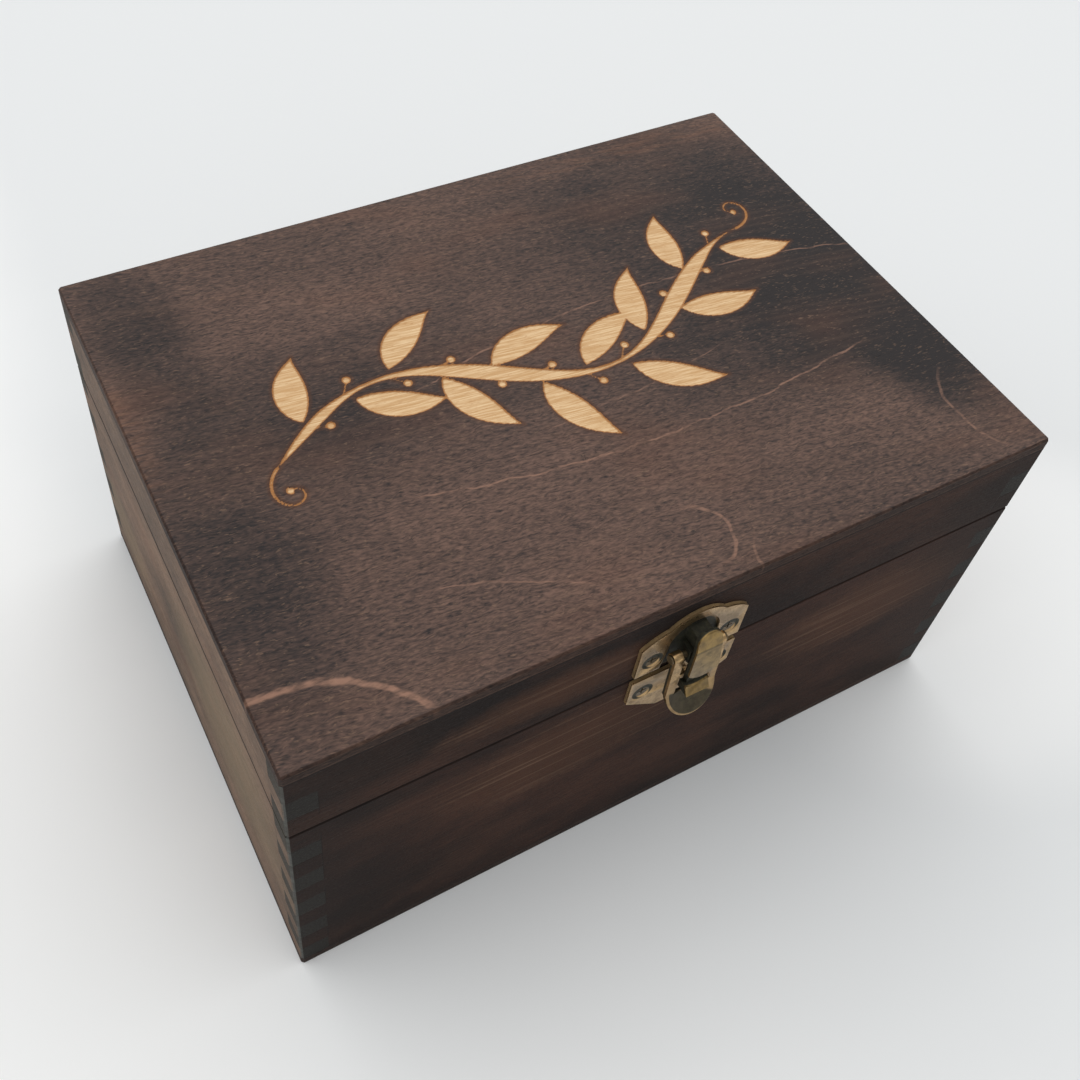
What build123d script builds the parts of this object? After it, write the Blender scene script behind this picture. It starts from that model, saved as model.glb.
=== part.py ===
"""Finger-jointed keepsake box with a hinged lid and a hanging hasp latch.

Millimetres, +Z up, front at -Y. The origin is on the underside, in the middle of the bottom panel.
"""
import math
import os

from build123d import *

os.makedirs("parts", exist_ok=True)

# Overall size and boards
box_width = 220.0
box_depth = 160.0
board_thickness = 8.0
panel_thickness = 4.0
base_board_height = 80.0
lid_rail_height = 25.6
lid_gap = 0.4
base_fingers = 10
lid_fingers = 3
corner_bevel = 0.7
panel_edge_radius = 0.8
rail_edge_bevel = 0.4

# Screws shared by the latch and the hinges
screw_sink_radius = 2.9
screw_head_recess = 0.35
screw_core_radius = 1.1
screw_length = 6.4
screw_clearance = 0.05
screw_slot_width = 0.5
screw_slot_length = 2.6
screw_slot_depth = 0.4

# Butt hinges on the back
hinge_spacing = 120.0
hinge_width = 26.0
hinge_leaf_height = 13.0
hinge_leaf_thickness = 1.0
hinge_corner_radius = 1.5
knuckle_radius = 2.0
knuckle_standoff = 0.1
knuckle_gap = 0.3
hinge_pin_radius = 1.0
hinge_screw_spacing = 15.0
hinge_screw_drop = 8.2

# Fits of the pins
running_clearance = 0.05
fixed_clearance = 0.02

# Latch plates, measured from the middle of the latch and from the lid gap
latch_offset = -3.6
plate_thickness = 1.2
plate_width = 31.6
plate_gap = 2.6
lid_plate_side_height = 12.4
lid_plate_shoulder_height = 16.4
lid_plate_shoulder_width = 16.4
lid_plate_height = 20.0
lid_plate_hollow = 0.7
arch_panel_width = 16.8
arch_panel_waist = 14.8
arch_panel_spring = 8.4
arch_panel_height = 16.8
arch_panel_depth = 0.75
base_plate_drop = 0.3
base_plate_side_height = 10.0
base_plate_height = 17.4
base_plate_tip_width = 11.0
latch_screw_spacing = 23.0
lid_screw_rise = 8.3
base_screw_drop = 6.7

# Bill: the fixed hook that stands on the lid plate. Reaches are measured out from the front board.
bill_thickness = 1.4
bill_crown_rise = 20.4
bill_crown_width = 7.1
bill_crown_reach = 6.1
bill_crown_curve = 2.8
bill_crease_rise = 14.6
bill_crease_reach = 7.15
bill_tip_rise = 3.4
bill_tip_width = 9.0
bill_tip_reach = 8.0
bill_tip_curve = 2.0
web_width = 5.0
web_back_reach = 4.4
web_front_reach = 6.0
web_neck_rise = 12.8
web_neck_height = 4.8
jaw_width = 7.0
jaw_rise = -2.0
jaw_curve = 1.0
jaw_lip_reach = 7.3
jaw_reach = 8.5
jaw_drop = 4.2

# Hasp and its pin
hasp_pin_radius = 0.9
hasp_pin_rise = 9.7
hasp_pin_reach = 3.5
hasp_pin_head_radius = 1.25
hasp_pin_head_thickness = 0.4
hasp_eye_radius = 1.6
hasp_width = 15.4
hasp_window_width = 10.0
hasp_front_reach = 5.7
hasp_back_reach = 4.1
hasp_bend_drop = 5.6
hasp_window_drop = 6.2
hasp_lip_drop = 6.3
hasp_lip_radius = 7.5
hasp_lip_reach = 9.2
hasp_lip_thickness = 1.3
hasp_side_play = 0.2
lug_thickness = 1.4
lug_width = 4.8
lug_reach = 5.0
dish_radius = 6.6
dish_depth = 0.85
dish_drop = 7.0
catch_radius = 2.2
catch_height = 1.6
catch_bevel = 0.5
catch_drop = 5.4

# Levels that follow from those sizes
base_top = panel_thickness + base_board_height
lid_bottom = base_top + lid_gap
lid_top = lid_bottom + lid_rail_height
hinge_axis_level = base_top + lid_gap / 2
hinge_axis_reach = knuckle_radius + knuckle_standoff
latch_level = base_top + lid_gap / 2

# Outer faces of the box, each with its local X to the right and its local Y upwards
front_face = Plane(origin=(0, -box_depth / 2, 0), x_dir=(1, 0, 0), z_dir=(0, -1, 0))
back_face = Plane(origin=(0, box_depth / 2, 0), x_dir=(-1, 0, 0), z_dir=(0, 1, 0))
left_face = Plane(origin=(-box_width / 2, 0, 0), x_dir=(0, -1, 0), z_dir=(-1, 0, 0))
right_face = Plane(origin=(box_width / 2, 0, 0), x_dir=(0, 1, 0), z_dir=(1, 0, 0))
latch_face = Plane(origin=(latch_offset, -box_depth / 2, latch_level), x_dir=(1, 0, 0), z_dir=(0, -1, 0))
latch_side = Plane(origin=latch_face.origin, x_dir=(0, -1, 0), z_dir=(-1, 0, 0))

# Screw places on those faces
latch_screw_columns = (-latch_screw_spacing / 2, latch_screw_spacing / 2)
lid_latch_screws = [(latch_offset + x, latch_level + lid_screw_rise) for x in latch_screw_columns]
base_latch_screws = [(latch_offset + x, latch_level - base_screw_drop) for x in latch_screw_columns]
hinge_screw_columns = [
    side * hinge_spacing / 2 + end * hinge_screw_spacing / 2 for side in (-1, 1) for end in (-1, 1)
]
lid_hinge_screws = [(x, hinge_axis_level + hinge_screw_drop) for x in hinge_screw_columns]
base_hinge_screws = [(x, hinge_axis_level - hinge_screw_drop) for x in hinge_screw_columns]


def save(name, piece):
    piece.part.label = name
    export_step(piece.part, f"parts/{name}.step")


def box_outline():
    """Plan of the box, with its four upright edges bevelled."""
    with BuildSketch() as outline:
        Rectangle(box_width, box_depth)
        chamfer(outline.vertices(), corner_bevel)
    return outline.sketch


# Screws and the holes they need
def turned(face, places, profile):
    """Bodies turned about the normal of a face at each place. The profile is radius, height."""
    with BuildPart() as bodies:
        for place in places:
            origin = face.from_local_coords((place[0], place[1], 0))
            section = Plane(origin=origin, x_dir=face.x_dir, z_dir=face.x_dir.cross(face.z_dir))
            with BuildSketch(section):
                with BuildLine():
                    Polyline(*profile, close=True)
                make_face()
            revolve(axis=Axis(origin, face.z_dir))
    return bodies.part


def screws(face, places, seat):
    """Cross-slotted screws whose heads lie a little below the face of the plate they hold."""
    head_top = seat - screw_head_recess
    sink_slope = (screw_sink_radius - screw_core_radius) / seat
    head_radius = screw_core_radius + sink_slope * head_top - screw_clearance
    profile = (
        (0, head_top),
        (head_radius, head_top),
        (screw_core_radius, 0),
        (screw_core_radius, -screw_length),
        (0, -screw_length),
    )
    with BuildPart() as group:
        add(turned(face, places, profile))
        with BuildSketch(face.offset(head_top)):
            with Locations(*places):
                Rectangle(screw_slot_length, screw_slot_width)
                Rectangle(screw_slot_width, screw_slot_length)
        extrude(amount=-screw_slot_depth, mode=Mode.SUBTRACT)
    return group


def cut_screw_holes(face, places, seat):
    core = screw_core_radius + screw_clearance
    end = -screw_length - screw_clearance
    profile = ((0, seat), (screw_sink_radius, seat), (core, 0), (core, end), (0, end))
    add(turned(face, places, profile), mode=Mode.SUBTRACT)


# Boards with finger joints
def frame_envelope(bottom, height, split_level):
    """Outer block of one frame, its edges bevelled where the lid and the base part."""
    with BuildPart() as block:
        with BuildSketch(Plane.XY.offset(bottom)):
            add(box_outline())
        extrude(amount=height)
        ends = block.faces().filter_by(Axis.Z)
        split_face = ends.sort_by(lambda face: abs(face.center().Z - split_level))[0]
        chamfer(split_face.edges(), rail_edge_bevel)
    return block.part


def jointed_board(face, length, bottom, height, fingers, has_top_finger, envelope):
    """Board on one face of the box, notched at both ends where the next board's fingers enter."""
    finger_height = height / fingers
    notch_middle = (length - board_thickness) / 2
    with BuildPart() as board:
        with BuildSketch(face):
            with Locations((0, bottom + height / 2)):
                Rectangle(length, height)
            for finger in range(fingers):
                is_own = (finger % 2 == 0) == has_top_finger
                if not is_own:
                    level = bottom + height - (finger + 0.5) * finger_height
                    with Locations((-notch_middle, level), (notch_middle, level)):
                        Rectangle(board_thickness, finger_height, mode=Mode.SUBTRACT)
        extrude(amount=-board_thickness)
        add(envelope, mode=Mode.INTERSECT)
    return board


def frame_boards(prefix, bottom, height, split_level, fingers, holes):
    """Four boards of one frame. The front and back boards have the fingers at the top."""
    envelope = frame_envelope(bottom, height, split_level)
    sides = (
        ("front", front_face, box_width, True),
        ("back", back_face, box_width, True),
        ("left", left_face, box_depth, False),
        ("right", right_face, box_depth, False),
    )
    for side, face, length, has_top_finger in sides:
        board = jointed_board(face, length, bottom, height, fingers, has_top_finger, envelope)
        if side in holes:
            with board:
                cut_screw_holes(face, holes[side], plate_thickness)
        save(f"{prefix}_{side}_board", board)


frame_boards(
    "base", panel_thickness, base_board_height, base_top, base_fingers,
    {"front": base_latch_screws, "back": base_hinge_screws},
)
frame_boards(
    "lid", lid_bottom, lid_rail_height, lid_bottom, lid_fingers,
    {"front": lid_latch_screws, "back": lid_hinge_screws},
)


# Plywood panels glued over the frames
def panel(level, outer_faces):
    with BuildPart() as sheet:
        with BuildSketch(Plane.XY.offset(level)):
            add(box_outline())
        extrude(amount=panel_thickness)
        fillet(outer_faces(sheet).edges(), panel_edge_radius)
    return sheet


save("base_bottom_panel", panel(0, lambda sheet: sheet.faces().sort_by(Axis.Z)[0]))
save("lid_top_panel", panel(lid_top, lambda sheet: sheet.faces().sort_by(Axis.Z)[-1]))


# Hinges: the base leaf has the two outer knuckles, the lid leaf the middle one
knuckle_pitch = hinge_width / 3
middle_knuckle_length = knuckle_pitch - knuckle_gap
end_knuckle_length = knuckle_pitch - knuckle_gap / 2
end_knuckle_offset = (hinge_width - end_knuckle_length) / 2
middle_knuckles = [(0, middle_knuckle_length)]
end_knuckles = [(-end_knuckle_offset, end_knuckle_length), (end_knuckle_offset, end_knuckle_length)]
leaf_notch_height = knuckle_radius + knuckle_gap


def hinge_leaf(middle, direction, knuckles, other_knuckles, bore_clearance, screw_places):
    """Leaf that points up (direction 1) or down (-1) from the hinge axis, with its knuckles."""
    leaf_face = Plane(origin=(middle, box_depth / 2, hinge_axis_level), x_dir=(-1, 0, 0), z_dir=(0, 1, 0))
    axis_point = (middle, box_depth / 2 + hinge_axis_reach, hinge_axis_level)
    knuckle_face = Plane(origin=axis_point, x_dir=(0, 1, 0), z_dir=(1, 0, 0))
    with BuildPart() as leaf:
        with BuildSketch(leaf_face):
            with Locations((0, direction * hinge_leaf_height / 2)):
                RectangleRounded(hinge_width, hinge_leaf_height, hinge_corner_radius)
            with Locations((0, direction * hinge_leaf_height / 4)):
                Rectangle(hinge_width, hinge_leaf_height / 2)
            for offset, length in other_knuckles:
                with Locations((offset, direction * leaf_notch_height / 2)):
                    Rectangle(length + 2 * knuckle_gap, leaf_notch_height, mode=Mode.SUBTRACT)
        extrude(amount=hinge_leaf_thickness)
        for offset, length in knuckles:
            with BuildSketch(knuckle_face.offset(offset - length / 2)):
                Circle(knuckle_radius)
            extrude(amount=length)
        with BuildSketch(knuckle_face):
            Circle(hinge_pin_radius + bore_clearance)
        extrude(amount=hinge_width, both=True, mode=Mode.SUBTRACT)
        cut_screw_holes(back_face, screw_places, hinge_leaf_thickness)
    return leaf


def hinge_pin(middle):
    axis_point = (middle, box_depth / 2 + hinge_axis_reach, hinge_axis_level)
    with BuildPart() as pin:
        with BuildSketch(Plane(origin=axis_point, x_dir=(0, 1, 0), z_dir=(1, 0, 0))):
            Circle(hinge_pin_radius)
        extrude(amount=hinge_width / 2, both=True)
    return pin


def own_screws(places, middle):
    """The screw places of one hinge, out of those of both. The back face runs the other way."""
    return [place for place in places if abs(place[0] + middle) < hinge_spacing / 2]


for side, middle in (("left", -hinge_spacing / 2), ("right", hinge_spacing / 2)):
    base_screws = own_screws(base_hinge_screws, middle)
    lid_screws = own_screws(lid_hinge_screws, middle)
    base_leaf = hinge_leaf(middle, -1, end_knuckles, middle_knuckles, fixed_clearance, base_screws)
    lid_leaf = hinge_leaf(middle, 1, middle_knuckles, end_knuckles, running_clearance, lid_screws)
    save(f"hinge_{side}_base_leaf", base_leaf)
    save(f"hinge_{side}_lid_leaf", lid_leaf)
    save(f"hinge_{side}_pin", hinge_pin(middle))

save("hinge_base_screws", screws(back_face, base_hinge_screws, hinge_leaf_thickness))
save("hinge_lid_screws", screws(back_face, lid_hinge_screws, hinge_leaf_thickness))


# Latch plate on the lid, with the bill that stands on it: a strip and a jaw, joined by a web
lid_plate_bottom = plate_gap
lid_plate_corner = lid_plate_bottom + lid_plate_side_height
lid_plate_shoulder = lid_plate_bottom + lid_plate_shoulder_height
lid_plate_apex = lid_plate_bottom + lid_plate_height
arch_panel_corner = lid_plate_bottom + arch_panel_spring
arch_panel_apex = lid_plate_bottom + arch_panel_height


def strip_section():
    """Side view of the bill's strip: it leans out from the crown, with a crease on the way."""
    crown = bill_crown_rise - bill_thickness / 2
    with BuildSketch() as outline:
        with BuildLine():
            ThreePointArc(
                (bill_crown_reach - bill_thickness, crown),
                (bill_crown_reach - bill_thickness / 2, bill_crown_rise),
                (bill_crown_reach, crown),
            )
            Polyline(
                (bill_crown_reach, crown),
                (bill_crease_reach, bill_crease_rise),
                (bill_tip_reach, bill_tip_rise),
                (bill_tip_reach - bill_thickness, bill_tip_rise),
                (bill_crease_reach - bill_thickness, bill_crease_rise),
                (bill_crown_reach - bill_thickness, crown),
            )
        make_face()
    return outline.sketch


def strip_outline():
    """Front view of the strip: it widens from the round crown down to the curved tip."""
    half_crown = bill_crown_width / 2
    half_tip = bill_tip_width / 2
    crown = bill_crown_rise - bill_crown_curve
    tip = bill_tip_rise + bill_tip_curve
    with BuildSketch() as outline:
        with BuildLine():
            ThreePointArc((half_crown, crown), (0, bill_crown_rise), (-half_crown, crown))
            Line((-half_crown, crown), (-half_tip, tip))
            ThreePointArc((-half_tip, tip), (0, bill_tip_rise), (half_tip, tip))
            Line((half_tip, tip), (half_crown, crown))
        make_face()
    return outline.sketch


def web_section():
    """Side view of the narrow web behind the strip, from its neck on the plate to the jaw."""
    neck_top = web_neck_rise + web_neck_height
    with BuildSketch() as outline:
        with BuildLine():
            Polyline(
                (0, web_neck_rise),
                (0, neck_top),
                (web_front_reach, neck_top),
                (web_front_reach, -jaw_drop),
                (web_back_reach, -jaw_drop),
                (web_back_reach, web_neck_rise),
                close=True,
            )
        make_face()
    return outline.sketch


def jaw_section():
    """Side view of the jaw under the open mouth."""
    lip = jaw_rise + jaw_curve
    with BuildSketch() as outline:
        with BuildLine():
            Polyline(
                (web_back_reach, -jaw_drop),
                (jaw_reach, -jaw_drop),
                (jaw_lip_reach, jaw_rise),
                (jaw_lip_reach, lip),
                (web_back_reach, lip),
                close=True,
            )
        make_face()
    return outline.sketch


def jaw_outline():
    """Front view of the jaw, its lip curved down in the middle like the tip above it."""
    half = jaw_width / 2
    lip = jaw_rise + jaw_curve
    with BuildSketch() as outline:
        with BuildLine():
            ThreePointArc((-half, lip), (0, jaw_rise), (half, lip))
            Polyline((half, lip), (half, -jaw_drop), (-half, -jaw_drop), (-half, lip))
        make_face()
    return outline.sketch


with BuildPart() as bill_strip:
    with BuildSketch(latch_side):
        add(strip_section())
    extrude(amount=bill_tip_width / 2, both=True)
    with BuildSketch(latch_face):
        add(strip_outline())
    extrude(amount=bill_tip_reach, mode=Mode.INTERSECT)

with BuildPart() as bill_jaw:
    with BuildSketch(latch_side):
        add(jaw_section())
    extrude(amount=jaw_width / 2, both=True)
    with BuildSketch(latch_face):
        add(jaw_outline())
    extrude(amount=jaw_reach, mode=Mode.INTERSECT)

with BuildPart() as bill:
    with BuildSketch(latch_side):
        add(web_section())
    extrude(amount=web_width / 2, both=True)
    add(bill_strip.part)
    add(bill_jaw.part)

with BuildPart() as latch_lid_plate:
    with BuildSketch(latch_face):
        with BuildLine():
            half = plate_width / 2
            half_shoulder = lid_plate_shoulder_width / 2
            Polyline(
                (-half, lid_plate_corner),
                (-half, lid_plate_bottom),
                (half, lid_plate_bottom),
                (half, lid_plate_corner),
            )
            SagittaArc(
                (half, lid_plate_corner), (half_shoulder, lid_plate_shoulder), -lid_plate_hollow
            )
            ThreePointArc(
                (half_shoulder, lid_plate_shoulder),
                (0, lid_plate_apex),
                (-half_shoulder, lid_plate_shoulder),
            )
            SagittaArc(
                (-half_shoulder, lid_plate_shoulder), (-half, lid_plate_corner), -lid_plate_hollow
            )
        make_face()
    extrude(amount=plate_thickness)
    with BuildSketch(latch_face.offset(plate_thickness)):
        with BuildLine():
            Polyline(
                (-arch_panel_waist / 2, arch_panel_corner),
                (-arch_panel_width / 2, lid_plate_bottom),
                (arch_panel_width / 2, lid_plate_bottom),
                (arch_panel_waist / 2, arch_panel_corner),
            )
            ThreePointArc(
                (arch_panel_waist / 2, arch_panel_corner),
                (0, arch_panel_apex),
                (-arch_panel_waist / 2, arch_panel_corner),
            )
        make_face()
    extrude(amount=-arch_panel_depth, mode=Mode.SUBTRACT)
    add(bill.part)
    for lug in (-1, 1):
        lug_middle = lug * (bill_crown_width - lug_thickness) / 2
        with BuildSketch(latch_face):
            with Locations((lug_middle, hasp_pin_rise)):
                Rectangle(lug_thickness, lug_width)
        extrude(amount=lug_reach)
    with BuildSketch(latch_side):
        with Locations((hasp_pin_reach, hasp_pin_rise)):
            Circle(hasp_pin_radius + fixed_clearance)
    extrude(amount=plate_width, both=True, mode=Mode.SUBTRACT)
    cut_screw_holes(front_face, lid_latch_screws, plate_thickness)
save("latch_lid_plate", latch_lid_plate)
save("latch_lid_screws", screws(front_face, lid_latch_screws, plate_thickness))


# Latch plate on the base, with the small round catch behind the hasp
with BuildPart() as latch_base_plate:
    top = -base_plate_drop
    with BuildSketch(latch_face):
        with BuildLine():
            Polyline(
                (-plate_width / 2, top),
                (-plate_width / 2, top - base_plate_side_height),
                (-base_plate_tip_width / 2, top - base_plate_height),
                (base_plate_tip_width / 2, top - base_plate_height),
                (plate_width / 2, top - base_plate_side_height),
                (plate_width / 2, top),
                close=True,
            )
        make_face()
    extrude(amount=plate_thickness)
    with BuildSketch(latch_face.offset(plate_thickness)):
        with Locations((0, -catch_drop)):
            Circle(catch_radius)
    extrude(amount=catch_height)
    catch_rim = latch_base_plate.faces().sort_by(Axis.Y)[0].edges()
    chamfer(catch_rim, catch_bevel)
    cut_screw_holes(front_face, base_latch_screws, plate_thickness)
save("latch_base_plate", latch_base_plate)
save("latch_base_screws", screws(front_face, base_latch_screws, plate_thickness))


# Hasp: two eyes on the pin, two bars and a dished finger lip that leans outwards
hasp_lip_bottom = -hasp_lip_drop - hasp_lip_radius
lip_slope = (hasp_lip_reach - hasp_front_reach) / (hasp_lip_bottom + hasp_bend_drop)
lip_lean = math.atan(-lip_slope)


def bar_section():
    """Side view of a bar, from the eye on the pin down to the bend."""
    with BuildSketch() as outline:
        with BuildLine():
            Polyline(
                (hasp_pin_reach + hasp_eye_radius, hasp_pin_rise),
                (hasp_front_reach, -hasp_bend_drop),
                (hasp_back_reach, -hasp_bend_drop),
                (hasp_pin_reach, hasp_pin_rise),
                close=True,
            )
        make_face()
        with Locations((hasp_pin_reach, hasp_pin_rise)):
            Circle(hasp_eye_radius)
    return outline.sketch


def lip_section():
    """Side view of the lip, which leans out from the bend to its rim."""
    with BuildSketch() as outline:
        with BuildLine():
            Polyline(
                (hasp_front_reach, -hasp_bend_drop),
                (hasp_lip_reach, hasp_lip_bottom),
                (hasp_lip_reach - hasp_lip_thickness, hasp_lip_bottom),
                (hasp_back_reach, -hasp_bend_drop),
                close=True,
            )
        make_face()
    return outline.sketch


def hasp_outline():
    """Front view: straight bars that draw in to a round lip."""
    half = hasp_width / 2
    top = hasp_pin_rise + hasp_eye_radius
    window_height = top + hasp_window_drop
    with BuildSketch() as outline:
        with BuildLine():
            Polyline(
                (-hasp_lip_radius, -hasp_lip_drop),
                (-half, -hasp_bend_drop),
                (-half, top),
                (half, top),
                (half, -hasp_bend_drop),
                (hasp_lip_radius, -hasp_lip_drop),
            )
            ThreePointArc(
                (hasp_lip_radius, -hasp_lip_drop),
                (0, hasp_lip_bottom),
                (-hasp_lip_radius, -hasp_lip_drop),
            )
        make_face()
        with Locations((0, window_height / 2 - hasp_window_drop)):
            Rectangle(hasp_window_width, window_height, mode=Mode.SUBTRACT)
    return outline.sketch


with BuildPart() as hasp_lip:
    with BuildSketch(latch_side):
        add(lip_section())
    extrude(amount=hasp_width / 2, both=True)
    with BuildSketch(latch_face):
        add(hasp_outline())
    extrude(amount=hasp_lip_reach, mode=Mode.INTERSECT)
    dish_sphere_radius = (dish_radius**2 + dish_depth**2) / (2 * dish_depth)
    dish_lift = dish_sphere_radius - dish_depth
    dish_mouth_reach = hasp_front_reach + lip_slope * (hasp_bend_drop - dish_drop)
    dish_middle = (
        0,
        -dish_drop + dish_lift * math.sin(lip_lean),
        dish_mouth_reach + dish_lift * math.cos(lip_lean),
    )
    with Locations(latch_face.from_local_coords(dish_middle)):
        Sphere(dish_sphere_radius, mode=Mode.SUBTRACT)

with BuildPart() as latch_hasp:
    with BuildSketch(latch_side):
        add(bar_section())
    extrude(amount=hasp_width / 2, both=True)
    with BuildSketch(latch_face):
        add(hasp_outline())
    extrude(amount=hasp_lip_reach, mode=Mode.INTERSECT)
    with BuildSketch(latch_side):
        with Locations((hasp_pin_reach, hasp_pin_rise)):
            Circle(hasp_pin_radius + running_clearance)
    extrude(amount=hasp_width, both=True, mode=Mode.SUBTRACT)
    add(hasp_lip.part)
save("latch_hasp", latch_hasp)

with BuildPart() as latch_pin:
    with BuildSketch(latch_side):
        with Locations((hasp_pin_reach, hasp_pin_rise)):
            Circle(hasp_pin_radius)
    extrude(amount=hasp_width / 2 + hasp_side_play, both=True)
    for end in (-1, 1):
        with BuildSketch(latch_side.offset(end * (hasp_width / 2 + hasp_side_play))):
            with Locations((hasp_pin_reach, hasp_pin_rise)):
                Circle(hasp_pin_head_radius)
        extrude(amount=end * hasp_pin_head_thickness)
save("latch_pin", latch_pin)
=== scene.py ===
import math

import bmesh
import bpy
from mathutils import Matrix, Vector


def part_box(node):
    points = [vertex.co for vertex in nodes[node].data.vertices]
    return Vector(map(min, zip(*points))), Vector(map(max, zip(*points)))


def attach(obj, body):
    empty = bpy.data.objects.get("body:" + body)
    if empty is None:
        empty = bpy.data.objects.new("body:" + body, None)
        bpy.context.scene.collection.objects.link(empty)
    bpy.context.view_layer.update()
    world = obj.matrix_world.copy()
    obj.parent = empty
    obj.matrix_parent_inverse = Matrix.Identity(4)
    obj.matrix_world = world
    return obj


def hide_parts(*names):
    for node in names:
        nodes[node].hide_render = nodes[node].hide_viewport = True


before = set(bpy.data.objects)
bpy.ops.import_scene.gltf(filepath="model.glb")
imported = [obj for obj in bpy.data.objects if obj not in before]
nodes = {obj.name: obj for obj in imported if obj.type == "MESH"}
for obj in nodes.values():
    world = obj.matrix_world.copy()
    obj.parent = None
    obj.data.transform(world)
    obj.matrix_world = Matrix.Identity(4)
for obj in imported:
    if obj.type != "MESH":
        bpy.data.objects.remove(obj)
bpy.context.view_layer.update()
mm = 0.001
print("frame loaded:", len(nodes), "nodes")


# Shader maths: expressions on sockets add their own nodes
class Value:
    def __init__(self, finish, socket):
        self.finish = finish
        self.socket = socket

    def maths(self, operation, *others, swap=False):
        values = [self, *others]
        if swap:
            values.reverse()
        return self.finish.node("Math", {"operation": operation}, dict(enumerate(values)))

    def __add__(self, other):
        return self.maths("ADD", other)

    def __sub__(self, other):
        return self.maths("SUBTRACT", other)

    def __rsub__(self, other):
        return self.maths("SUBTRACT", other, swap=True)

    def __mul__(self, other):
        return self.maths("MULTIPLY", other)

    def __abs__(self):
        return self.maths("ABSOLUTE")

    def power(self, other):
        return self.maths("POWER", other)

    def sine(self):
        return self.maths("SINE")

    def toNearest(self, spacing):
        # distance to the nearest whole multiple of the spacing
        return self.maths("PINGPONG", spacing / 2)

    def smaller(self, other):
        return self.maths("MINIMUM", other)

    def larger(self, other):
        return self.maths("MAXIMUM", other)

    def step(self, low, high, toLow=0.0, toHigh=1.0):
        # smooth change from toLow to toHigh while the value goes from low to high
        return self.finish.node(
            "MapRange", {"interpolation_type": "SMOOTHSTEP"},
            {"Value": self, "From Min": low, "From Max": high, "To Min": toLow, "To Max": toHigh},
        )

    def inside(self, low, high, soft):
        # 1 between low and high, and 0 outside
        return self.step(low - soft, low + soft) * self.step(high - soft, high + soft, 1.0, 0.0)


class Finish:
    def __init__(self, name):
        self.material = bpy.data.materials.new(name)
        self.material.use_nodes = True
        self.tree = self.material.node_tree
        self.tree.nodes.clear()
        self.shader = self.tree.nodes.new("ShaderNodeBsdfPrincipled")
        output = self.tree.nodes.new("ShaderNodeOutputMaterial")
        self.tree.links.new(self.shader.outputs[0], output.inputs["Surface"])
        self.coordinates = self.node("TexCoord", {}, {}, "Object")

    def node(self, kind, settings, inputs, output=0):
        made = self.tree.nodes.new("ShaderNode" + kind)
        for name, value in settings.items():
            setattr(made, name, value)
        for name, value in inputs.items():
            self.feed(made.inputs[name], value)
        return Value(self, made.outputs[output])

    def feed(self, socket, value):
        if isinstance(value, Value):
            self.tree.links.new(value.socket, socket)
        elif hasattr(value, "__len__") and len(value) == 3 and len(socket.default_value) == 4:
            socket.default_value = (*value, 1.0)
        else:
            socket.default_value = value

    def mix(self, factor, first, second, blend="MIX"):
        # colours sit on the sixth and seventh sockets of the Mix node
        settings = {"data_type": "RGBA", "blend_type": blend, "clamp_factor": True}
        return self.node("Mix", settings, {0: factor, 6: first, 7: second}, 2)

    def noise(self, where, pattern, seed=0.0):
        # a pattern is how often it repeats along each axis, its detail, its roughness and its own seed
        often, detail, roughness, ownSeed = pattern
        inputs = {
            "Vector": self.stretched(where, often), "W": seed + ownSeed, "Scale": 1.0,
            "Detail": detail, "Roughness": roughness,
        }
        return self.node("TexNoise", {"noise_dimensions": "4D"}, inputs)

    def millimetres(self):
        return self.stretched(self.coordinates, (1.0 / mm, 1.0 / mm, 1.0 / mm))

    def stretched(self, where, scale, turn=0.0):
        return self.node("Mapping", {}, {"Vector": where, "Scale": scale, "Rotation": (0.0, 0.0, turn)})

    def axes(self, where):
        return [self.node("SeparateXYZ", {}, {0: where}, index) for index in range(3)]

    def bump(self, height, strength, distance):
        return self.node("Bump", {}, {"Strength": strength, "Distance": distance, "Height": height})

    def surface(self, **inputs):
        for name, value in inputs.items():
            self.feed(self.shader.inputs[name.replace("_", " ")], value)


def fromMiddle(x, y):
    # distance from where both are 0
    return (x * x + y * y).power(0.5)


def ellipse(x, y, middle, reach):
    # 0 in the middle, and 1 on the outline
    dx = (x - middle[0]) * (1.0 / reach[0])
    dy = (y - middle[1]) * (1.0 / reach[1])
    return dx * dx + dy * dy


def dress(obj, material):
    obj.data.materials.clear()
    obj.data.materials.append(material)


def addPiece(name, shape, body, material, replaced=()):
    # finished mesh as an object that rides on a body
    mesh = bpy.data.meshes.new(name)
    shape.to_mesh(mesh)
    shape.free()
    piece = bpy.data.objects.new(name, mesh)
    bpy.context.scene.collection.objects.link(piece)
    dress(piece, material)
    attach(piece, body)
    if replaced:
        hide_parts(*replaced)
    return piece


def mergedCopy(name):
    shape = bmesh.new()
    shape.from_mesh(nodes[name].data)
    bmesh.ops.remove_doubles(shape, verts=shape.verts, dist=0.002 * mm)
    bmesh.ops.dissolve_limit(shape, angle_limit=math.radians(0.5), verts=shape.verts, edges=shape.edges)
    return shape


# Box sizes that the patterns follow, in millimetres
low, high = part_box("lid_top_panel")
box = {
    "halfWidth": high[0] / mm,
    "halfDepth": high[1] / mm,
    "top": high[2] / mm,
    "lidTop": low[2] / mm,
    "lidBottom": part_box("lid_front_board")[0][2] / mm,
    "baseTop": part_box("base_front_board")[1][2] / mm,
    "baseBottom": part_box("base_front_board")[0][2] / mm,
    "board": (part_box("base_front_board")[1][1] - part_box("base_front_board")[0][1]) / mm,
    "baseFingers": 10,
    "lidFingers": 3,
}

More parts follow.
